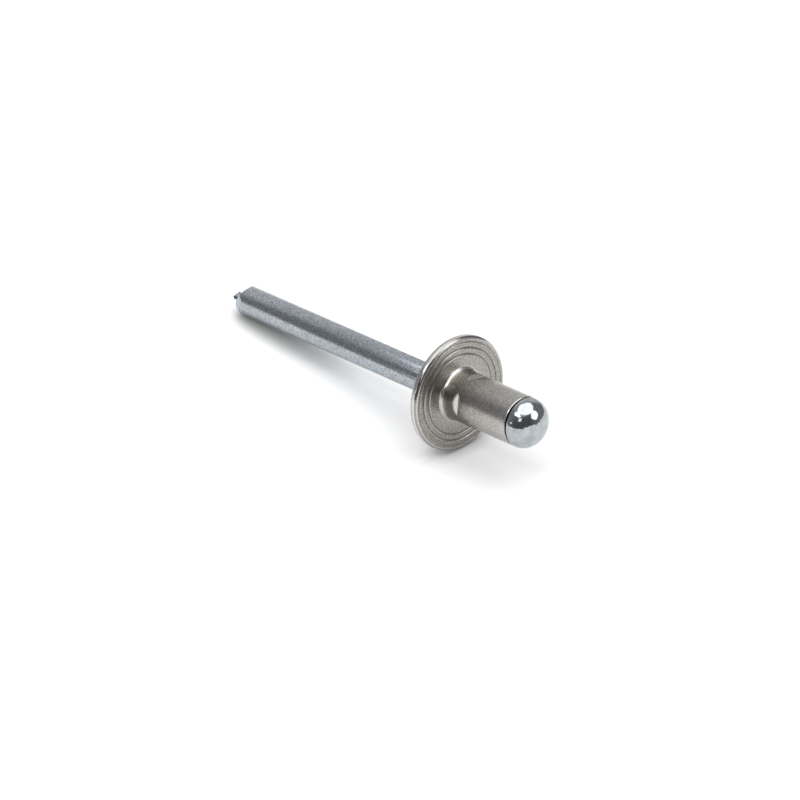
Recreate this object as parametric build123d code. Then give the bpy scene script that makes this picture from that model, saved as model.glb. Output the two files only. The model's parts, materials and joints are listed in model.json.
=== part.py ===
from build123d import *

import os
from math import asin, atan2, cos, degrees, hypot, radians, sin, sqrt, tan

# Large-flange open-end blind rivet, unset, lying where it comes to rest:
# on the rim of its flange and on the cropped end of its mandrel.
# All sizes are millimetres.  Each piece is drawn about its own X axis, with the
# flange's bearing face at X = 0, the sleeve and the mandrel's head on the +X side
# and the mandrel's tail on the -X side.  Both pieces are then tilted together
# until the rim and the tail touch Z = 0.

# ---- sleeve -------------------------------------------------------------------
shank_diameter = 4.8
sleeve_length = 8.5        # bearing face to the open end
bore_clearance = 0.07      # around the mandrel, before the crimps are pressed
end_rounding = 0.18        # outer edge of the sleeve's open end
root_fillet = 0.35         # between the bearing face and the shank
seam_turn = 2.2            # degrees from the upper side to the turned surface's seam

# ---- flange -------------------------------------------------------------------
flange_diameter = 11.1
rim_thickness = 0.75       # at the flange's edge
crown_height = 1.55        # at the bore, outer side domed
rim_front_rounding = 0.27
rim_back_rounding = 0.25

# Forming rings pressed into the bearing face:
# (distance in from the flat face's edge, width, depth)
face_rings = ((0.24, 0.22, 0.04), (0.80, 0.30, 0.06), (1.40, 0.26, 0.05))

# ---- crimps that grip the mandrel ----------------------------------------------
crimp_count = 4
crimp_phase = 13.0         # degrees up from the -Y side
crimp_centre = 1.95        # bearing face to the deepest line
crimp_depth = 0.30
crimp_flange_run = 0.42    # length of the steep wall on the flange side
crimp_head_run = 0.62      # length of the easier wall on the head side
crimp_land_width = 1.20    # width of the land pushed into the bore
crimp_land_clearance = 0.01

# ---- mandrel ------------------------------------------------------------------
mandrel_diameter = 2.86
tail_length = 30.3         # bearing face to the cropped end
head_relief = 0.0          # the head's edge lies this far inside the shank's outline
head_seat_width = 0.5      # ring of the head that bears on the sleeve's end, around the bore
head_undercut = 0.22       # the head's edge stands this far off the sleeve's end
head_crown = 1.95          # height of the polished dome above its edge
break_setback = 1.6        # sleeve's end to the break notch
break_depth = 0.38
break_width = 0.8

# Pinch facets left on the tail's end by the cropping dies:
# (degrees up from the -Y side, length along the tail, slope to the axis in degrees)
tail_facets = ((85.0, 0.90, 43.0), (265.0, 0.90, 43.0), (15.0, 1.09, 22.0), (195.0, 1.09, 22.0))
burr_width = 0.65
burr_height = 0.20
burr_thickness = 0.14

shank_radius = shank_diameter / 2
flange_radius = flange_diameter / 2
mandrel_radius = mandrel_diameter / 2
bore_radius = mandrel_radius + bore_clearance
head_radius = shank_radius - head_relief
face_edge_radius = flange_radius - rim_front_rounding


def radial(angle):
    """Unit vector square to the axis, at an angle in degrees up from the -Y side."""
    return Vector(0, -cos(radians(angle)), sin(radians(angle)))


def nearest_corner(face, x, r):
    """The corner of a section that lies at distance x along the axis and radius r."""
    return face.vertices().sort_by_distance(Vector(x, 0, r))[0]


def section(*edges):
    """A section face, drawn as (distance along the axis, radius)."""
    return Plane.XZ * make_face(Curve() + list(edges))


def sleeve_section():
    # The outer side of the flange is an arc about a centre on the axis, through the
    # crown's edge at the bore and the back of the rim.
    dome_centre = (rim_thickness**2 + flange_radius**2 - crown_height**2 - bore_radius**2) / (
        2 * (crown_height - rim_thickness)
    )
    dome_radius = hypot(dome_centre + crown_height, bore_radius)
    middle_radius = (bore_radius + flange_radius) / 2
    dome_middle = dome_centre - sqrt(dome_radius**2 - middle_radius**2)
    outline = section(
        ThreePointArc(
            (-crown_height, bore_radius),
            (dome_middle, middle_radius),
            (-rim_thickness, flange_radius),
        ),
        Polyline(
            (-rim_thickness, flange_radius),
            (0, flange_radius),
            (0, shank_radius),
            (sleeve_length, shank_radius),
            (sleeve_length, bore_radius),
            (-crown_height, bore_radius),
        ),
    )
    for x, r, rounding in (
        (-rim_thickness, flange_radius, rim_back_rounding),
        (0, flange_radius, rim_front_rounding),
        (0, shank_radius, root_fillet),
        (sleeve_length, shank_radius, end_rounding),
    ):
        outline = fillet(nearest_corner(outline, x, r), rounding)
    return outline


def ring_cutter(inset, width, depth):
    """A shallow V ring in the bearing face, cut from a diamond section."""
    middle = face_edge_radius - inset
    diamond = section(
        Polyline(
            (-depth, middle),
            (0, middle + width / 2),
            (depth, middle),
            (0, middle - width / 2),
            (-depth, middle),
        )
    )
    return revolve(diamond, Axis.X)


def crimp_cutter(angle):
    """A wedge pressed straight across the shank, with its edge square to the axis."""
    floor = shank_radius - crimp_depth
    wedge_height = crimp_depth + shank_radius
    flange_run = crimp_flange_run * wedge_height / crimp_depth
    head_run = crimp_head_run * wedge_height / crimp_depth
    wedge = section(
        Polyline(
            (crimp_centre, floor),
            (crimp_centre + head_run, floor + wedge_height),
            (crimp_centre - flange_run, floor + wedge_height),
            (crimp_centre, floor),
        )
    )
    return Rot(X=angle - 90) * extrude(wedge, shank_diameter, both=True)


def crimp_land(angle):
    """The land that a crimp pushes into the bore, just clear of the mandrel."""
    inner = mandrel_radius + crimp_land_clearance
    outer = (shank_radius + bore_radius) / 2
    block = Box(
        crimp_flange_run + crimp_head_run,
        crimp_land_width,
        outer - inner,
        align=(Align.CENTER, Align.CENTER, Align.MIN),
    )
    return Rot(X=angle - 90) * Pos(crimp_centre, 0, inner) * block


def cylinder_along(start, end, radius):
    """A solid cylinder on the rivet's axis."""
    rod = Cylinder(radius, end - start, align=(Align.CENTER, Align.CENTER, Align.MIN))
    return Pos(start, 0, 0) * Rot(Y=90) * rod


def sleeve():
    body = Rot(X=seam_turn) * revolve(sleeve_section(), Axis.X)
    for ring in face_rings:
        body -= ring_cutter(*ring)
    # the crimps reach the shank only, clear of the flange and its fillet
    shank_zone = cylinder_along(root_fillet, sleeve_length, flange_diameter)
    for i in range(crimp_count):
        angle = crimp_phase + i * 360 / crimp_count
        body += crimp_land(angle)
        body -= crimp_cutter(angle) & shank_zone
    return body


def mandrel_section():
    head_edge = sleeve_length + head_undercut
    notch_middle = sleeve_length - break_setback
    return section(
        Polyline(
            (head_edge + head_crown, 0),
            (-tail_length, 0),
            (-tail_length, mandrel_radius),
            (notch_middle - break_width / 2, mandrel_radius),
            (notch_middle, mandrel_radius - break_depth),
            (notch_middle + break_width / 2, mandrel_radius),
            (sleeve_length, mandrel_radius),
            (sleeve_length, bore_radius + head_seat_width),
            (head_edge, head_radius),
        ),
        EllipticalCenterArc((head_edge, 0), head_crown, head_radius, arc_size=90),
    )


def facet_cutter(angle, length, slope):
    """Everything outside one pinch facet of the tail's end."""
    out = radial(angle)
    start = Vector(length - tail_length, 0, 0) + out * mandrel_radius
    normal = Vector(-sin(radians(slope)), 0, 0) + out * cos(radians(slope))
    face = Plane(origin=start, x_dir=Vector(1, 0, 0).cross(out), z_dir=normal)
    size = 4 * mandrel_diameter
    return face * Box(size, size, size, align=(Align.CENTER, Align.CENTER, Align.MIN))


def burr():
    """The thin lip of metal that the dies leave along the near half of the end's top edge."""
    angle, length, slope = tail_facets[0]
    edge_radius = mandrel_radius - length * tan(radians(slope))
    lip = Box(
        burr_thickness, burr_width, 2 * burr_height, align=(Align.MIN, Align.MAX, Align.CENTER)
    )
    return Rot(X=angle - 90) * Pos(-tail_length, -burr_height, edge_radius) * lip


def mandrel():
    pin = revolve(mandrel_section(), Axis.X)
    for facet in tail_facets:
        pin -= facet_cutter(*facet)
    return pin + burr()


def rest_tilt():
    """Tilt in degrees at which the rim's back rounding and the tail's facet edge share a floor."""
    rim_x = -rim_thickness + rim_back_rounding
    rim_r = flange_radius - rim_back_rounding
    tail_x = max(facet[1] for facet in tail_facets[:2]) - tail_length
    reach = hypot(rim_x - tail_x, rim_r - mandrel_radius)
    line = atan2(rim_r - mandrel_radius, rim_x - tail_x)
    return degrees(line + asin(rim_back_rounding / reach))


pieces = {"rivet_body": sleeve(), "mandrel": mandrel()}
tilted = {name: Rot(Y=-rest_tilt()) * piece for name, piece in pieces.items()}
box = Compound([solid for piece in tilted.values() for solid in piece.solids()]).bounding_box()
to_origin = Pos(-box.center().X, -box.center().Y, -box.min.Z)

os.makedirs("parts", exist_ok=True)
for name, piece in tilted.items():
    export_step(to_origin * piece, f"parts/{name}.step")
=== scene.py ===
import json
import math

import bmesh
import bpy
from bpy.props import FloatProperty, FloatVectorProperty, IntProperty, PointerProperty
from mathutils import Matrix, Quaternion, Vector


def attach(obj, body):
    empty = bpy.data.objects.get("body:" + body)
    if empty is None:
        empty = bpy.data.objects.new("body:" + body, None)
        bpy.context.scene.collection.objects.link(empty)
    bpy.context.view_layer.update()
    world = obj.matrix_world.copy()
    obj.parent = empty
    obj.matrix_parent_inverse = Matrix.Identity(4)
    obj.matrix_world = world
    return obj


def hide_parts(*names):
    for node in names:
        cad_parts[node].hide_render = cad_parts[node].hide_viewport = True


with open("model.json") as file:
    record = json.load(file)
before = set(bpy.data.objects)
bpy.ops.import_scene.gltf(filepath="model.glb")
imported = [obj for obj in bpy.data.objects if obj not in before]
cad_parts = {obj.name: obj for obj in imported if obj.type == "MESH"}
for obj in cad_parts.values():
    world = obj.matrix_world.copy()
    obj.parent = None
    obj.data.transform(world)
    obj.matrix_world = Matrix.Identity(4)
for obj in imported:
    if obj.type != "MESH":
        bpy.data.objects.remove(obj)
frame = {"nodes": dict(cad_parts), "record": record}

bl_info = {
    "name": "Blind rivet",
    "version": (1, 0, 0),
    "blender": (4, 5, 0),
    "location": "3D View > Sidebar > Rivet",
    "description": "Builds an unset large-flange blind rivet and the studio that it lies in",
    "category": "Object",
}

# The pieces are drawn in millimetres in the rivet's own frame: X runs along the axis toward
# the mandrel's head, from X = 0 at the flange's bearing face, and Z is the upper side.
MM = 0.001


def rivet_frame():
    """Matrix that takes the rivet's own frame, in metres, to the row frame."""
    mounts = {mount["name"]: mount for mount in frame["record"]["mounts"]}
    axis = Vector(mounts["shank"]["axis"]).normalized()
    on_axis = Vector(mounts["shank"]["pos_m"])
    on_face = Vector(mounts["bearing_face"]["pos_m"])
    face_centre = on_axis + axis * (on_face - on_axis).dot(axis)
    side = Vector((0, 1, 0))
    turn = Matrix((axis, side, axis.cross(side))).transposed()
    return Matrix.Translation(face_centre) @ turn.to_4x4()


TO_ROW = rivet_frame()


def reach(node):
    """A CAD node's first and last distance along the axis, and its largest radius, in metres."""
    to_rivet = TO_ROW.inverted()
    corners = [to_rivet @ vertex.co for vertex in frame["nodes"][node].data.vertices]
    along = [corner.x for corner in corners]
    return min(along), max(along), max(math.hypot(corner.y, corner.z) for corner in corners)


SLEEVE_START, SLEEVE_END, FLANGE_RADIUS = reach("rivet_body")
TAIL_END, HEAD_TOP, _ = reach("mandrel")
RADII = {mount["name"]: mount["dims"].get("r_mm") for mount in frame["record"]["mounts"]}


def length(name, description, default):
    """A length property, in metres."""
    return FloatProperty(
        name=name, description=description, default=default, min=0, precision=5,
        subtype="DISTANCE", unit="LENGTH",
    )


def colour(name, description, default):
    """A colour property, as linear red, green and blue."""
    return FloatVectorProperty(
        name=name, description=description, default=default, size=3, min=0, max=1,
        subtype="COLOR",
    )


def angle(name, description, degrees):
    """An angle property, given here in degrees."""
    return FloatProperty(
        name=name, description=description, default=math.radians(degrees), subtype="ANGLE",
    )


class SleeveSettings(bpy.types.PropertyGroup):
    """Sizes and colours of the aluminium sleeve with its flange"""

    flange_radius: length("Flange radius", "Axis to the flange's rim", FLANGE_RADIUS)
    crown_height: length("Dome height", "Bearing face to the top of the domed side", -SLEEVE_START)
    rim_thickness: length("Rim thickness", "Thickness of the flange at its rim", 0.75 * MM)
    rim_front_rounding: length("Front rounding", "Rim edge on the bearing side", 0.35 * MM)
    rim_back_rounding: length("Back rounding", "Rim edge on the domed side", 0.25 * MM)
    shank_radius: length("Shank radius", "Axis to the shank's outside", RADII["shank"] * MM)
    shank_length: length("Shank length", "Bearing face to the open end", SLEEVE_END)
    root_fillet: length("Root fillet", "Between the bearing face and the shank", 0.35 * MM)
    end_rounding: length("End rounding", "Outer edge of the open end", 0.14 * MM)
    bore_clearance: length("Bore clearance", "Clearance around the mandrel", 0.07 * MM)
    crimps: IntProperty(name="Crimps", description="Crimps around the shank", default=4, min=1)
    crimp_phase: angle("Crimp phase", "First crimp, up from the -Y side", 13)
    crimp_centre: length("Crimp centre", "Bearing face to a crimp's deepest line", 1.95 * MM)
    crimp_depth: length("Crimp depth", "Depth of a crimp", 0.30 * MM)
    metal: colour("Metal", "Colour of the aluminium", (0.250, 0.238, 0.217))
    # Painted highlight: a light colour laid where the sleeve's edges, crimps and ring shoulders would
    # catch light
    painted_highlight: colour("Painted highlight", "Colour of the rubbed edges", (0.64, 0.635, 0.62))
    # Painted shade: a near-black colour laid in the face's grooves, on the open end where it meets the
    # head, and on the crimps' head-side walls
    painted_shade: colour("Painted shade", "Colour in the grooves and the joint", (0.07, 0.065, 0.06))
    smudge: colour("Smudge", "Colour of the duller patches", (0.19, 0.18, 0.162))


class MandrelSettings(bpy.types.PropertyGroup):
    """Sizes and colours of the steel mandrel with its head"""

    radius: length("Radius", "Axis to the wire's outside", RADII["mandrel_tail"] * MM)
    tail_length: length("Tail length", "Bearing face to the cropped end", -TAIL_END)
    head_top: length("Head top", "Bearing face to the top of the head", HEAD_TOP)
    head_undercut: length("Head undercut", "Sleeve's end to the head's edge", 0.22 * MM)
    wire: colour("Wire", "Colour of the zinc-plated wire", (0.31, 0.335, 0.36))
    head: colour("Head", "Colour of the polished head", (0.42, 0.45, 0.465))


class StageSettings(bpy.types.PropertyGroup):
    """Floor, light and camera"""

    floor: colour("Floor", "Colour of the floor", (0.84, 0.84, 0.84))
    view_azimuth: angle("View azimuth", "Camera's direction, from the -Y side toward +X", 47.505)
    view_elevation: angle("View elevation", "Camera's height above the floor", 34.562)
    view_distance: length("View distance", "Camera to the point that it looks at", 0.7368)
    aim_right: FloatProperty(
        name="Aim right", description="Aim point, right of the flange's foot", default=-5.548 * MM,
        subtype="DISTANCE", unit="LENGTH", precision=5,
    )
    aim_up: FloatProperty(
        name="Aim up", description="Aim point, above the flange's foot", default=4.027 * MM,
        subtype="DISTANCE", unit="LENGTH", precision=5,
    )


# ---- meshes ---------------------------------------------------------------------------


def new_profile(points, closed):
    """A bmesh with one wire through (along, out) points, and its vertices in order."""
    bm = bmesh.new()
    verts = [bm.verts.new((along, 0, out)) for along, out in points]
    for first, second in zip(verts, verts[1:] + verts[:1] if closed else verts[1:]):
        bm.edges.new((first, second))
    return bm, verts


def round_corner(bm, vert, radius, segments):
    """Gives a corner of the wire a tangent arc."""
    before, after = [edge.other_vert(vert).co - vert.co for edge in vert.link_edges]
    turn = math.pi - before.angle(after)
    bmesh.ops.bevel(
        bm, geom=[vert], offset=radius * math.tan(turn / 2), offset_type="OFFSET",
        segments=segments, profile=0.5, affect="VERTICES", material=-1,
    )


SLACK = 0.01    # allowance for rounding where vertices are chosen by their place


def divide(bm, first, last, spacing):
    """Cuts the wire's straight runs between two distances along the axis into even steps."""
    for edge in bm.edges[:]:
        ends = [vert.co.x for vert in edge.verts]
        if min(ends) >= first and max(ends) <= last and edge.calc_length() > spacing:
            cuts = math.ceil(edge.calc_length() / spacing) - 1
            bmesh.ops.subdivide_edges(bm, edges=[edge], cuts=cuts)


WELD = 1e-5    # vertices nearer than this become one


def spin_shut(bm, steps):
    """Turns the wire once round the rivet's axis into a closed surface."""
    bmesh.ops.spin(
        bm, geom=bm.verts[:] + bm.edges[:], cent=(0, 0, 0), axis=(1, 0, 0),
        angle=2 * math.pi, steps=steps, use_merge=True,
    )
    bmesh.ops.remove_doubles(bm, verts=bm.verts, dist=WELD)
    bmesh.ops.recalc_face_normals(bm, faces=bm.faces)


def soft_min(values, width):
    """The lowest of the values, rounded over where two of them are within the width."""
    low = min(values)
    return low - width * math.log(sum(math.exp((low - value) / width) for value in values))


# A die reaches no further round the bar than where this is the cosine of the angle to it
LEAST_FACING = 0.1


def press(verts, radius, dies, softness):
    """Presses flat dies into part of a round bar of that radius, straight toward its axis.

    A die is a direction, in radians up from the -Y side, and a function that gives the height of
    its face above the axis at a distance along it. Its edges are rounded by the softness.
    """
    for vert in verts:
        around = math.atan2(vert.co.z, -vert.co.y)
        limits = [radius]
        for direction, height in dies:
            facing = max(math.cos(around - direction), LEAST_FACING)
            limits.append(height(vert.co.x) / facing)
        scale = min(1, soft_min(limits, softness) / radius)
        vert.co.y *= scale
        vert.co.z *= scale


def between(bm, first, last, inner=0):
    """The vertices between two distances along the axis that lie outside a radius."""
    return [
        vert for vert in bm.verts
        if first <= vert.co.x <= last and math.hypot(vert.co.y, vert.co.z) > inner
    ]


def smooth(value, low, high):
    """0 at low, 1 at high, a smooth rise between them, and held beyond; low may be the larger."""
    share = min(max((value - low) / (high - low), 0), 1)
    return share * share * (3 - 2 * share)


def finish_piece(bm, name, cad_node, materials):
    """Puts the mesh in its place in the row frame, as the piece that stands for a CAD node."""
    bm.transform(TO_ROW @ Matrix.Scale(MM, 4))
    mesh = bpy.data.meshes.new(name)
    bm.to_mesh(mesh)
    bm.free()
    for face in mesh.polygons:
        face.use_smooth = True
    for material in materials:
        mesh.materials.append(material)
    piece = bpy.data.objects.new(name, mesh)
    bpy.context.scene.collection.objects.link(piece)
    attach(piece, "root")
    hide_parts(cad_node)


# ---- sleeve ---------------------------------------------------------------------------

SLEEVE_STEPS = 256
DOMED_SIDE_SEGMENTS = 28
RIM_BACK_SEGMENTS = 6
RIM_FRONT_SEGMENTS = 12
RING_SEGMENTS = 3
FILLET_SEGMENTS = 10
END_SEGMENTS = 6
MOUTH_SEGMENTS = 3
FACE_RINGS = ((5.04, 0.22, 0.055), (4.48, 0.28, 0.08), (3.88, 0.26, 0.07))    # (radius, width, depth)
RING_ROUNDING = 0.05
FACE_LEAN_START = 3.70    # the bearing face leans back outside this radius
FACE_LEAN = 0.06          # by this much at the rim
FACE_LEAN_POWER = 1.5
MOUTH_ROUNDING = 0.06     # inner edge of the open end
CRIMP_RUNS = (0.42, 0.62)    # length of a crimp's walls, on the flange's side and on the head's side
CRIMP_ZONE = (0.40, 3.40)    # first and last distance along the shank that the dies touch
CRIMP_ROWS = 0.045           # distance between rows of vertices there
CRIMP_SOFTNESS = 0.012

# Where the sleeve gets its painted highlight, with smoother polish, or its painted shade: the distances
# at which each mark starts and is full.
# Those named OUT are radii and those named ALONG lie along the axis, from the place stated.
RIM_OUT = (-0.32, -0.14)           # from the flange's edge
RIM_SIDE_ALONG = (-0.62, -0.40)    # from the bearing face
RIM_FRONT_ALONG = (-0.36, -0.22)
FILLET_INSIDE_OUT = (-0.10, 0.0)    # from the shank's outside
FILLET_OUTSIDE_OUT = (0.42, 0.20)
FILLET_BACK_ALONG = (-0.30, -0.10)    # from the bearing face
FILLET_HEAD_ALONG = (0.75, 0.30)
PRESSED_DEPTH = (0.02, 0.10)    # below the shank's outside
PRESSED_OUT = (0.20, 0.30)      # from the bore
WALL_CHANGE_ALONG = (-0.02, 0.02)    # from a crimp's deepest line
MOUTH_ALONG = (-0.22, -0.10)    # from the open end
MOUTH_OUT = (-0.30, -0.10)      # from the shank's outside
JOINT_ALONG = (-0.05, -0.01)    # from the open end
GROOVE_DEPTH = (0.015, 0.06)
SHOULDER_DEPTH = (0.001, 0.01)
INNER_DISC_OUT = (3.74, 3.66)    # from the axis
FACE_BACK = -0.3     # the bearing face's marks stay on its own side of this
FACE_INSIDE = 0.5    # and this far out from the shank

# How strongly each painted highlight, with its polish, and each painted shade shows
RIM_POLISH_AND_HIGHLIGHT = 1.2
RIM_SIDE_SHARE = 0.8
FILLET_POLISH_AND_HIGHLIGHT = 0.5
CRIMP_POLISH_AND_HIGHLIGHT = 0.9
MOUTH_POLISH_AND_HIGHLIGHT = 0.4
SHOULDER_POLISH_AND_HIGHLIGHT = 0.6
INNER_DISC_POLISH_AND_HIGHLIGHT = 0.3
GROOVE_PAINTED_SHADE = 0.6
CRIMP_PAINTED_SHADE = 0.5


def dome_points(crown, rim, inner, outer):
    """The flange's domed side, an arc about a centre on the axis, from the bore to the rim."""
    centre = (rim**2 + outer**2 - crown**2 - inner**2) / (2 * (crown - rim))
    size = math.hypot(centre + crown, inner)
    points = []
    for step in range(DOMED_SIDE_SEGMENTS + 1):
        out = inner + (outer - inner) * step / DOMED_SIDE_SEGMENTS
        points.append((centre - math.sqrt(size**2 - out**2), out))
    return points


def face_lean(out, rim):
    """How far the bearing face leans back at a radius."""
    share = max(0, (out - FACE_LEAN_START) / (rim - FACE_LEAN_START))
    return FACE_LEAN * share**FACE_LEAN_POWER


def turned_sleeve(sizes, bore):
    """The sleeve before it is crimped: flange, shank and bore turned in one."""
    flange, crown, rim = sizes.flange_radius / MM, sizes.crown_height / MM, sizes.rim_thickness / MM
    shank, end = sizes.shank_radius / MM, sizes.shank_length / MM
    points = dome_points(crown, rim, bore, flange)
    # For each rounded corner of the section: (radius, segments)
    rounded = {len(points) - 1: (sizes.rim_back_rounding / MM, RIM_BACK_SEGMENTS)}
    rounded[len(points)] = (sizes.rim_front_rounding / MM, RIM_FRONT_SEGMENTS)
    points.append((-FACE_LEAN, flange))
    for middle, width, depth in FACE_RINGS:
        for out, sink in ((middle + width / 2, 0), (middle, depth), (middle - width / 2, 0)):
            rounded[len(points)] = (RING_ROUNDING, RING_SEGMENTS)
            points.append((-sink - face_lean(out, flange), out))
    rounded[len(points)] = (sizes.root_fillet / MM, FILLET_SEGMENTS)
    points.append((0, shank))
    points.append((CRIMP_ZONE[1], shank))
    rounded[len(points)] = (sizes.end_rounding / MM, END_SEGMENTS)
    points.append((end, shank))
    rounded[len(points)] = (MOUTH_ROUNDING, MOUTH_SEGMENTS)
    points.append((end, bore))
    bm, verts = new_profile(points, closed=True)
    for index, (radius, segments) in rounded.items():
        round_corner(bm, verts[index], radius, segments)
    divide(bm, 0, CRIMP_ZONE[1] + SLACK, CRIMP_ROWS)
    spin_shut(bm, SLEEVE_STEPS)
    return bm


def crimp(bm, sizes):
    """Presses the crimps into the shank, close to the flange."""
    shank, depth, centre = sizes.shank_radius / MM, sizes.crimp_depth / MM, sizes.crimp_centre / MM

    def wedge(along):
        """Height of a die's face above the axis, lowest at the crimp's centre."""
        run = CRIMP_RUNS[0] if along < centre else CRIMP_RUNS[1]
        return shank - depth + abs(along - centre) * depth / run

    dies = [
        (sizes.crimp_phase + 2 * math.pi * index / sizes.crimps, wedge)
        for index in range(sizes.crimps)
    ]
    press(between(bm, *CRIMP_ZONE, shank - SLACK), shank, dies, CRIMP_SOFTNESS)


def paint_highlight_and_shade(bm, sizes, bore):
    """Writes the sleeve's painted highlight, which also smooths its roughness, and its painted shade at
    each vertex, from 0 to 1.
    """
    flange, shank, end = sizes.flange_radius / MM, sizes.shank_radius / MM, sizes.shank_length / MM
    centre = sizes.crimp_centre / MM
    polish_and_highlight = bm.verts.layers.float.new("polish_and_highlight")
    painted_shade = bm.verts.layers.float.new("painted_shade")
    for vert in bm.verts:
        along, out = vert.co.x, math.hypot(vert.co.y, vert.co.z)
        side = RIM_SIDE_SHARE * smooth(along, *RIM_SIDE_ALONG)
        rim = max(side, smooth(along, *RIM_FRONT_ALONG))
        rim *= smooth(out - flange, *RIM_OUT)
        fillet = smooth(out - shank, *FILLET_INSIDE_OUT) * smooth(out - shank, *FILLET_OUTSIDE_OUT)
        fillet *= smooth(along, *FILLET_BACK_ALONG) * smooth(along, *FILLET_HEAD_ALONG)
        pressed = smooth(shank - out, *PRESSED_DEPTH) * smooth(out - bore, *PRESSED_OUT)
        if not CRIMP_ZONE[0] < along < CRIMP_ZONE[1]:
            pressed = 0
        head_side = smooth(along - centre, *WALL_CHANGE_ALONG)
        mouth = smooth(along - end, *MOUTH_ALONG) * smooth(out - shank, *MOUTH_OUT)
        joint = smooth(along - end, *JOINT_ALONG)
        groove, shoulder, inner_disc = 0, 0, 0
        if along > FACE_BACK and out > shank + FACE_INSIDE:
            sink = -along - face_lean(out, flange)
            groove = smooth(sink, *GROOVE_DEPTH)
            shoulder = smooth(sink, *SHOULDER_DEPTH) * (1 - groove)
            inner_disc = smooth(out, *INNER_DISC_OUT)
        # Painted highlight, with smoother roughness, on the rim, root fillet, crimps' flange-side
        # walls, open end's edge, ring shoulders and the face inside the rings
        vert[polish_and_highlight] = max(
            RIM_POLISH_AND_HIGHLIGHT * rim,
            FILLET_POLISH_AND_HIGHLIGHT * fillet,
            CRIMP_POLISH_AND_HIGHLIGHT * pressed * (1 - head_side),
            MOUTH_POLISH_AND_HIGHLIGHT * mouth,
            SHOULDER_POLISH_AND_HIGHLIGHT * shoulder,
            INNER_DISC_POLISH_AND_HIGHLIGHT * inner_disc,
        )
        # Painted shade in the face's grooves, on the open end at the joint with the head, and on the
        # crimps' head-side walls
        vert[painted_shade] = max(GROOVE_PAINTED_SHADE * groove, joint, CRIMP_PAINTED_SHADE * pressed * head_side)


# ---- mandrel --------------------------------------------------------------------------

MANDREL_STEPS = 192
HEAD_SEGMENTS = 40
HEAD_EDGE_ROUNDING = 0.05
HEAD_EDGE_SEGMENTS = 5
HEAD_LIP = (0.02, 0.12)    # flat behind the head's edge: its depth along the axis and its width
HEAD_SEAT = 0.08           # width of the ring that bears on the sleeve's end
NOTCH_SETBACK = 1.6        # sleeve's end to the break notch
NOTCH_HALF_WIDTH = 0.4
NOTCH_DEPTH = 0.38
PINCH_ZONE = 1.4           # length of the cropped end that the dies touch
PINCH_ROWS = 0.035         # distance between rows of vertices there
PINCH_SOFTNESS = 0.03
END_RINGS = (1, 0.66, 0.33, 0)    # rings of vertices on the flat end, as shares of the radius

# Pinch facets on the cropped end: (degrees up from the -Y side, length, slope in degrees)
TAIL_FACETS = (
    (85, 0.90, 43), (265, 0.90, 43), (15, 1.09, 22), (195, 1.09, 22), (322, 0.55, 36),
)
BURR_MIDDLE = Vector((-0.04, -0.60, 0.57))    # from the tail's end, near half of its upper edge
BURR_SIZE = Vector((0.08, 0.84, 0.38))
BURR_EDGE = 0.025       # bevel of its edges
BURR_CUTS = 8           # even parts along it, so that it can bend
BURR_ROOT = -0.05       # height above its middle where it starts to lean
BURR_LEAN = 0.13        # how far its top leans out
BURR_SWING = 0.10       # how far its near end swings out
BURR_DROOP = 0.16       # how far its near end hooks down
BURR_WAVE = (0.03, 9)    # height of its wavy edge, and radians of wave per millimetre


def add_burr(bm, tail):
    """The thin lip that the cropping dies leave: it leans outward, and its near end hooks down."""
    lip = bmesh.new()
    bmesh.ops.create_cube(lip, size=1, matrix=Matrix.Diagonal((*BURR_SIZE, 1)))
    bmesh.ops.bevel(
        lip, geom=lip.edges[:], offset=BURR_EDGE, offset_type="OFFSET", segments=2, profile=0.5,
        affect="EDGES", material=-1,
    )
    for part in range(1, BURR_CUTS):
        cut = (0, (part / BURR_CUTS - 0.5) * BURR_SIZE.y, 0)
        bmesh.ops.bisect_plane(
            lip, geom=lip.verts[:] + lip.edges[:] + lip.faces[:], plane_co=cut, plane_no=(0, 1, 0)
        )
    wave, turns = BURR_WAVE
    for vert in lip.verts:
        near = smooth(-vert.co.y, 0, BURR_SIZE.y / 2)
        high = smooth(vert.co.z, BURR_ROOT, BURR_SIZE.z / 2)
        vert.co.x -= BURR_LEAN * high + BURR_SWING * near
        vert.co.z -= BURR_DROOP * near**2 - wave * math.sin(turns * vert.co.y)
        vert.co += BURR_MIDDLE - Vector((tail, 0, 0))
    mesh = bpy.data.meshes.new("burr")
    lip.to_mesh(mesh)
    lip.free()
    bm.from_mesh(mesh)
    bpy.data.meshes.remove(mesh)


def pinch_die(degrees, run, slope, radius, tail):
    """One die that pinches the cropped end: its direction, and its face's height above the axis."""
    rise = math.tan(math.radians(slope))

    def height(along):
        """Height of the die's face at a distance along the axis."""
        return radius - (run - along - tail) * rise

    return math.radians(degrees), height


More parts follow.
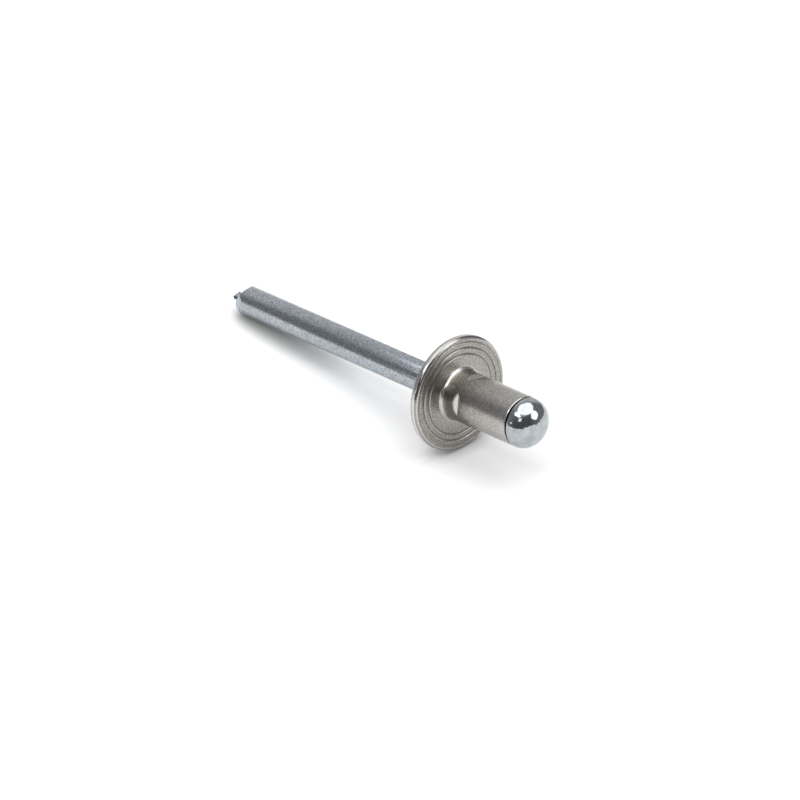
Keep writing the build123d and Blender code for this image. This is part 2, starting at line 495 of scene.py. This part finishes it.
def mandrel_mesh(sizes, bore, head, sleeve_end):
    """The mandrel: head, neck with its break notch, and wire, with the pinched end."""
    radius, tail, top = sizes.radius / MM, sizes.tail_length / MM, sizes.head_top / MM
    edge = sleeve_end + sizes.head_undercut / MM
    notch = sleeve_end - NOTCH_SETBACK
    points = [(top, 0)]
    for step in range(1, HEAD_SEGMENTS + 1):
        swing = math.pi / 2 * step / HEAD_SEGMENTS
        points.append((edge + (top - edge) * math.cos(swing), head * math.sin(swing)))
    points += [
        (edge - HEAD_LIP[0], head - HEAD_LIP[1]),
        (sleeve_end, bore + HEAD_SEAT),
        (sleeve_end, radius),
        (notch + NOTCH_HALF_WIDTH, radius),
        (notch, radius - NOTCH_DEPTH),
        (notch - NOTCH_HALF_WIDTH, radius),
        (PINCH_ZONE - tail, radius),
    ]
    points += [(-tail, share * radius) for share in END_RINGS]
    bm, verts = new_profile(points, closed=False)
    round_corner(bm, verts[HEAD_SEGMENTS], HEAD_EDGE_ROUNDING, HEAD_EDGE_SEGMENTS)
    pinched = (-tail - SLACK, PINCH_ZONE - tail + SLACK)
    divide(bm, *pinched, PINCH_ROWS)
    spin_shut(bm, MANDREL_STEPS)
    dies = [pinch_die(*facet, radius, tail) for facet in TAIL_FACETS]
    press(between(bm, *pinched), radius, dies, PINCH_SOFTNESS)
    add_burr(bm, tail)
    return bm


# ---- finishes -------------------------------------------------------------------------


def node(tree, kind, inputs=(), **attributes):
    """A new shader node with its attributes and plain input values set."""
    made = tree.nodes.new(kind)
    for key, value in attributes.items():
        setattr(made, key, value)
    for key, value in dict(inputs).items():
        made.inputs[key].default_value = value
    return made


def rivet_coordinates(tree):
    """Object coordinates turned into the rivet's own frame, in millimetres."""
    where = node(tree, "ShaderNodeTexCoord")
    turn = node(tree, "ShaderNodeMapping", vector_type="TEXTURE")
    turn.inputs["Location"].default_value = TO_ROW.to_translation()
    turn.inputs["Rotation"].default_value = TO_ROW.to_euler()
    turn.inputs["Scale"].default_value = (MM, MM, MM)
    tree.links.new(where.outputs["Object"], turn.inputs["Vector"])
    return turn.outputs["Vector"]


def new_metal(name):
    """A metal material: its tree, its shader and the rivet's coordinates."""
    material = bpy.data.materials.new(name)
    material.use_nodes = True
    tree = material.node_tree
    shader = tree.nodes["Principled BSDF"]
    shader.inputs["Metallic"].default_value = 1
    return material, tree, shader, rivet_coordinates(tree)


def mix_colours(tree, factor, first, second):
    """A colour mix; each side is a colour or another node's output."""
    mix = node(tree, "ShaderNodeMix", data_type="RGBA")
    tree.links.new(factor, mix.inputs["Factor"])
    for socket, side in (("A", first), ("B", second)):
        if isinstance(side, bpy.types.NodeSocket):
            tree.links.new(side, mix.inputs[socket])
        else:
            mix.inputs[socket].default_value = (*side, 1)
    return mix.outputs["Result"]


def remap(tree, value, low, high, to_low=0.0, to_high=1.0):
    """A value taken from one range to another, and held at its ends."""
    made = node(
        tree, "ShaderNodeMapRange",
        {"From Min": low, "From Max": high, "To Min": to_low, "To Max": to_high},
    )
    tree.links.new(value, made.inputs["Value"])
    return made.outputs["Result"]


def noise(tree, where, scale, detail, roughness):
    """Noise of that scale, in repeats per millimetre."""
    made = node(tree, "ShaderNodeTexNoise", {"Scale": scale, "Detail": detail, "Roughness": roughness})
    tree.links.new(where, made.inputs["Vector"])
    return made.outputs["Fac"]


def scaled(colour, factor):
    """A colour made lighter or duller."""
    return tuple(factor * value for value in colour)


def add_bump(tree, shader, height, distance):
    """Bump of that height in metres on the shader."""
    bump = node(tree, "ShaderNodeBump", {"Strength": 1.0, "Distance": distance})
    tree.links.new(height, bump.inputs["Height"])
    tree.links.new(bump.outputs["Normal"], shader.inputs["Normal"])


# Noise: repeats per millimetre, detail and roughness
SLEEVE_CLOUDS = (1.1, 4, 0.6)
WIRE_CLOUDS = (1.6, 5, 0.65)
HEAD_CLOUDS = (1.8, 5, 0.65)
SPECKLES = (5.5, 3, 0.75)
HEAD_GRAIN = (8, 3, 0.6)
HEAD_DENTS = (0.9, 2, 0.5)
# The part of the noise's range that turns from one colour to the other
SLEEVE_CLOUD_RANGE = (0.42, 0.72)
WIRE_CLOUD_RANGE = (0.35, 0.7)
HEAD_CLOUD_RANGE = (0.4, 0.7)
SPECKLE_RANGE = (0.45, 0.58)
# How much lighter the speckles are than the metal, and how much duller the clouds
SLEEVE_SPECKLE = 1.6
WIRE_SPECKLE = 1.45
WIRE_CLOUD = 0.80
HEAD_CLOUD = 0.7
# Roughness: plain and polished (where the highlight is painted), or bright and clouded
SLEEVE_ROUGHNESS = (0.30, 0.16)
WIRE_ROUGHNESS = (0.19, 0.27)
HEAD_ROUGHNESS = (0.05, 0.12)
# Depth of the grain, in metres
SLEEVE_GRAIN_DEPTH = 0.000009
WIRE_GRAIN_DEPTH = 0.000006
HEAD_DENT_DEPTH = 0.00006
HEAD_GRAIN_SHARE = 0.04    # of the dents' depth


def sleeve_metal(sizes):
    """Cold-formed aluminium: satin and mottled, with a painted highlight and smoother polish on its
    edges, and painted shade in the grooves, at the joint and in the crimps.
    """
    material, tree, shader, where = new_metal("satin_aluminium")
    polish_and_highlight = node(tree, "ShaderNodeAttribute", attribute_name="polish_and_highlight").outputs["Fac"]
    painted_shade = node(tree, "ShaderNodeAttribute", attribute_name="painted_shade").outputs["Fac"]
    cloud = remap(tree, noise(tree, where, *SLEEVE_CLOUDS), *SLEEVE_CLOUD_RANGE)
    grain = noise(tree, where, *SPECKLES)
    body = mix_colours(tree, cloud, sizes.metal, sizes.smudge)
    speckles = remap(tree, grain, *SPECKLE_RANGE)
    speckled = mix_colours(tree, speckles, body, scaled(sizes.metal, SLEEVE_SPECKLE))
    # Painted highlight: the light colour mixed in where the highlight mask is set
    highlighted = mix_colours(tree, polish_and_highlight, speckled, sizes.painted_highlight)
    # Painted shade: the near-black colour mixed in last, over the highlight
    shown = mix_colours(tree, painted_shade, highlighted, sizes.painted_shade)
    tree.links.new(shown, shader.inputs["Base Color"])
    tree.links.new(remap(tree, polish_and_highlight, 0, 1, *SLEEVE_ROUGHNESS), shader.inputs["Roughness"])
    add_bump(tree, shader, grain, SLEEVE_GRAIN_DEPTH)
    return material


def wire_metal(sizes):
    """Drawn steel wire with bright zinc plating, mottled and speckled."""
    material, tree, shader, where = new_metal("zinc_plated_wire")
    cloud = remap(tree, noise(tree, where, *WIRE_CLOUDS), *WIRE_CLOUD_RANGE)
    grain = noise(tree, where, *SPECKLES)
    body = mix_colours(tree, cloud, sizes.wire, scaled(sizes.wire, WIRE_CLOUD))
    speckles = remap(tree, grain, *SPECKLE_RANGE)
    shown = mix_colours(tree, speckles, body, scaled(sizes.wire, WIRE_SPECKLE))
    tree.links.new(shown, shader.inputs["Base Color"])
    tree.links.new(remap(tree, cloud, 0, 1, *WIRE_ROUGHNESS), shader.inputs["Roughness"])
    add_bump(tree, shader, grain, WIRE_GRAIN_DEPTH)
    return material


def head_metal(sizes):
    """The head's polish, smeared and slightly dented."""
    material, tree, shader, where = new_metal("polished_head")
    cloud = remap(tree, noise(tree, where, *HEAD_CLOUDS), *HEAD_CLOUD_RANGE)
    shown = mix_colours(tree, cloud, sizes.head, scaled(sizes.head, HEAD_CLOUD))
    tree.links.new(shown, shader.inputs["Base Color"])
    tree.links.new(remap(tree, cloud, 0, 1, *HEAD_ROUGHNESS), shader.inputs["Roughness"])
    dents = node(tree, "ShaderNodeMath", {1: HEAD_GRAIN_SHARE}, operation="MULTIPLY_ADD")
    tree.links.new(noise(tree, where, *HEAD_GRAIN), dents.inputs[0])
    tree.links.new(noise(tree, where, *HEAD_DENTS), dents.inputs[2])
    add_bump(tree, shader, dents.outputs[0], HEAD_DENT_DEPTH)
    return material


# ---- stage ----------------------------------------------------------------------------


def toward(azimuth, elevation):
    """Unit vector in that direction, in degrees from the -Y side toward +X and up from the floor."""
    around, up = math.radians(azimuth), math.radians(elevation)
    level = math.cos(up)
    return Vector((math.sin(around) * level, -math.cos(around) * level, math.sin(up)))


# Oval soft boxes: (azimuth, elevation, distance, turn about its own middle) and (width, height,
# radiance); angles in degrees, sizes in metres
SOFT_BOXES = {
    "top_box": ((135, 77, 0.84, 0), (1.06, 1.20, 2.0)),
    "key_panel": ((122, 30, 0.70, -20), (0.34, 0.40, 2.4)),
    "left_panel": ((-9, 14, 0.70, 35), (0.17, 0.10, 2.4)),
    "rim_panel": ((9, 56, 0.70, -6), (0.50, 0.20, 6.0)),
    "front_panel": ((41, 38, 0.70, 0), (0.22, 0.18, 2.0)),
}

# The room's own light: (azimuth, elevation) of each side of it, how squarely a direction has to
# point there for the side's colour to start and to be full, and the colours
DARK_SIDE = (55, 15)
DARK_EDGE = (0.25, 0.85)
LIGHT_SIDE = (-118, 20)
LIGHT_EDGE = (0.5, 0.88)
OVERHEAD = (0, 90)
OVERHEAD_EDGE = (0.62, 0.85)
DARK_WALL = (0.14, 0.143, 0.145)
PLAIN_WALL = (0.30, 0.30, 0.31)
LIGHT_WALL = (0.84, 0.84, 0.85)
CEILING = (0.55, 0.56, 0.57)

LENS, SENSOR_WIDTH = 360, 36    # in millimetres

FLOOR_HALF_WIDTH = 0.4
FLOOR_LIFT = 0.1           # floor's own glow where the camera or a mirror sees it
# Painted contact shadow: the floor's colour is darkened close to the rivet, by how much open sky it
# sees
CONTACT_REACH = 0.0024     # how near the floor the rivet's contact shadow is felt, in metres
CONTACT_RANGE = (0.35, 0.85)    # of the open sky over the floor, from full shadow to none
CONTACT_SHADE = 0.35            # share of the floor's colour that is left in full shadow


def soft_box(name, foot, place, face):
    """An oval lamp that faces the rivet, with the radiance of its face given."""
    azimuth, elevation, distance, turn = place
    width, height, radiance = face
    data = bpy.data.lights.new(name, "AREA")
    data.shape = "ELLIPSE"
    data.size, data.size_y = width, height
    data.energy = radiance * math.pi * (math.pi / 4 * width * height)
    lamp = bpy.data.objects.new(name, data)
    back = toward(azimuth, elevation)
    lamp.location = foot + back * distance
    facing = back.to_track_quat("Z", "Y") @ Quaternion((0, 0, 1), math.radians(turn))
    lamp.rotation_euler = facing.to_euler()
    bpy.context.scene.collection.objects.link(lamp)


def floor_material(colour):
    """A white floor with a painted contact shadow near the rivet, which keeps its other shadows and
    shows white to the camera and in the metal.
    """
    material = bpy.data.materials.new("pale_floor")
    material.use_nodes = True
    tree = material.node_tree
    shader = tree.nodes["Principled BSDF"]
    # Painted contact shadow: ambient occlusion darkens the floor's colour near the rivet
    contact = node(tree, "ShaderNodeAmbientOcclusion", {"Distance": CONTACT_REACH}, samples=8)
    open_sky = remap(tree, contact.outputs["AO"], *CONTACT_RANGE)
    shown = mix_colours(tree, open_sky, scaled(colour, CONTACT_SHADE), colour)
    tree.links.new(shown, shader.inputs["Base Color"])
    shader.inputs["Roughness"].default_value = 1
    shader.inputs["Specular IOR Level"].default_value = 0
    shader.inputs["Emission Color"].default_value = (1, 1, 1, 1)
    path = node(tree, "ShaderNodeLightPath")
    seen = path.outputs["Is Camera Ray"]
    for ray in ("Is Glossy Ray", "Is Transmission Ray"):
        also = node(tree, "ShaderNodeMath", operation="ADD", use_clamp=True)
        tree.links.new(seen, also.inputs[0])
        tree.links.new(path.outputs[ray], also.inputs[1])
        seen = also.outputs[0]
    lift = node(tree, "ShaderNodeMath", {1: FLOOR_LIFT}, operation="MULTIPLY")
    tree.links.new(seen, lift.inputs[0])
    tree.links.new(lift.outputs[0], shader.inputs["Emission Strength"])
    return material


def toward_side(tree, direction, side, low, high):
    """How far a direction points toward a side of the room, from 0 at low to 1 at high."""
    facing = node(tree, "ShaderNodeVectorMath", operation="DOT_PRODUCT")
    facing.inputs[1].default_value = toward(*side)
    tree.links.new(direction, facing.inputs[0])
    made = node(
        tree, "ShaderNodeMapRange", {"From Min": low, "From Max": high}, interpolation_type="SMOOTHSTEP"
    )
    tree.links.new(facing.outputs["Value"], made.inputs["Value"])
    return made.outputs["Result"]


def build_world():
    """A grey room, dark behind the camera and light overhead, white where the camera sees it."""
    world = bpy.data.worlds.new("studio_room")
    bpy.context.scene.world = world
    world.use_nodes = True
    tree = world.node_tree
    direction = node(tree, "ShaderNodeTexCoord").outputs["Generated"]
    room = mix_colours(tree, toward_side(tree, direction, DARK_SIDE, *DARK_EDGE), PLAIN_WALL, DARK_WALL)
    room = mix_colours(tree, toward_side(tree, direction, LIGHT_SIDE, *LIGHT_EDGE), room, LIGHT_WALL)
    room = mix_colours(tree, toward_side(tree, direction, OVERHEAD, *OVERHEAD_EDGE), room, CEILING)
    seen = node(tree, "ShaderNodeLightPath").outputs["Is Camera Ray"]
    background = tree.nodes["Background"]
    tree.links.new(mix_colours(tree, seen, room, (1, 1, 1)), background.inputs["Color"])


# ---- operators ------------------------------------------------------------------------


class RIVET_OT_sleeve(bpy.types.Operator):
    """Build the aluminium sleeve with its flange, forming rings and crimps"""

    bl_idname = "rivet.sleeve"
    bl_label = "Sleeve"

    def execute(self, context):
        sizes = context.scene.rivet_sleeve
        bore = (context.scene.rivet_mandrel.radius + sizes.bore_clearance) / MM
        bm = turned_sleeve(sizes, bore)
        crimp(bm, sizes)
        paint_highlight_and_shade(bm, sizes, bore)
        finish_piece(bm, "rivet_sleeve", "rivet_body", [sleeve_metal(sizes)])
        return {"FINISHED"}


class RIVET_OT_mandrel(bpy.types.Operator):
    """Build the steel mandrel with its polished head and cropped end"""

    bl_idname = "rivet.mandrel"
    bl_label = "Mandrel"

    def execute(self, context):
        sizes, sleeve = context.scene.rivet_mandrel, context.scene.rivet_sleeve
        bore = (sizes.radius + sleeve.bore_clearance) / MM
        end = sleeve.shank_length / MM
        bm = mandrel_mesh(sizes, bore, sleeve.shank_radius / MM, end)
        for face in bm.faces:
            face.material_index = 1 if face.calc_center_median().x > end else 0
        metals = [wire_metal(sizes), head_metal(sizes)]
        finish_piece(bm, "mandrel_pin", "mandrel", metals)
        return {"FINISHED"}


class RIVET_OT_stage(bpy.types.Operator):
    """Lay the floor, hang the soft boxes and set up the camera"""

    bl_idname = "rivet.stage"
    bl_label = "Stage"

    def execute(self, context):
        scene, sizes = context.scene, context.scene.rivet_stage
        bm = bmesh.new()
        bmesh.ops.create_grid(bm, x_segments=8, y_segments=8, size=FLOOR_HALF_WIDTH)
        mesh = bpy.data.meshes.new("studio_floor")
        bm.to_mesh(mesh)
        bm.free()
        mesh.materials.append(floor_material(sizes.floor))
        floor = bpy.data.objects.new("studio_floor", mesh)
        scene.collection.objects.link(floor)
        build_world()
        foot = TO_ROW.to_translation()
        foot.z = 0
        for name, (place, face) in SOFT_BOXES.items():
            soft_box(name, foot, place, face)
        data = bpy.data.cameras.new("view")
        data.lens, data.sensor_width = LENS, SENSOR_WIDTH
        camera = bpy.data.objects.new("view", data)
        back = toward(math.degrees(sizes.view_azimuth), math.degrees(sizes.view_elevation))
        turn = back.to_track_quat("Z", "Y")
        right, up = turn @ Vector((1, 0, 0)), turn @ Vector((0, 1, 0))
        aim = foot + right * sizes.aim_right + up * sizes.aim_up
        camera.location = aim + back * sizes.view_distance
        camera.rotation_euler = turn.to_euler()
        scene.collection.objects.link(camera)
        scene.camera = camera
        scene.view_settings.view_transform = "Standard"
        return {"FINISHED"}


class RIVET_PT_panel(bpy.types.Panel):
    """The rivet's pieces, with their sizes and colours"""

    bl_idname = "RIVET_PT_panel"
    bl_label = "Blind rivet"
    bl_space_type = "VIEW_3D"
    bl_region_type = "UI"
    bl_category = "Rivet"

    def draw(self, context):
        groups = (
            (RIVET_OT_sleeve, context.scene.rivet_sleeve),
            (RIVET_OT_mandrel, context.scene.rivet_mandrel),
            (RIVET_OT_stage, context.scene.rivet_stage),
        )
        for operator, settings in groups:
            box = self.layout.box()
            box.operator(operator.bl_idname)
            for name in settings.__annotations__:
                box.prop(settings, name)


CLASSES = (
    SleeveSettings, MandrelSettings, StageSettings,
    RIVET_OT_sleeve, RIVET_OT_mandrel, RIVET_OT_stage, RIVET_PT_panel,
)


def register():
    for cls in CLASSES:
        bpy.utils.register_class(cls)
    bpy.types.Scene.rivet_sleeve = PointerProperty(type=SleeveSettings)
    bpy.types.Scene.rivet_mandrel = PointerProperty(type=MandrelSettings)
    bpy.types.Scene.rivet_stage = PointerProperty(type=StageSettings)


def unregister():
    del bpy.types.Scene.rivet_stage
    del bpy.types.Scene.rivet_mandrel
    del bpy.types.Scene.rivet_sleeve
    for cls in reversed(CLASSES):
        bpy.utils.unregister_class(cls)


def main():
    """Builds the rivet and its studio."""
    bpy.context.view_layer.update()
    register()
    bpy.ops.rivet.sleeve()
    bpy.ops.rivet.mandrel()
    bpy.ops.rivet.stage()
    bpy.context.view_layer.update()


if __name__ == "__main__":
    main()
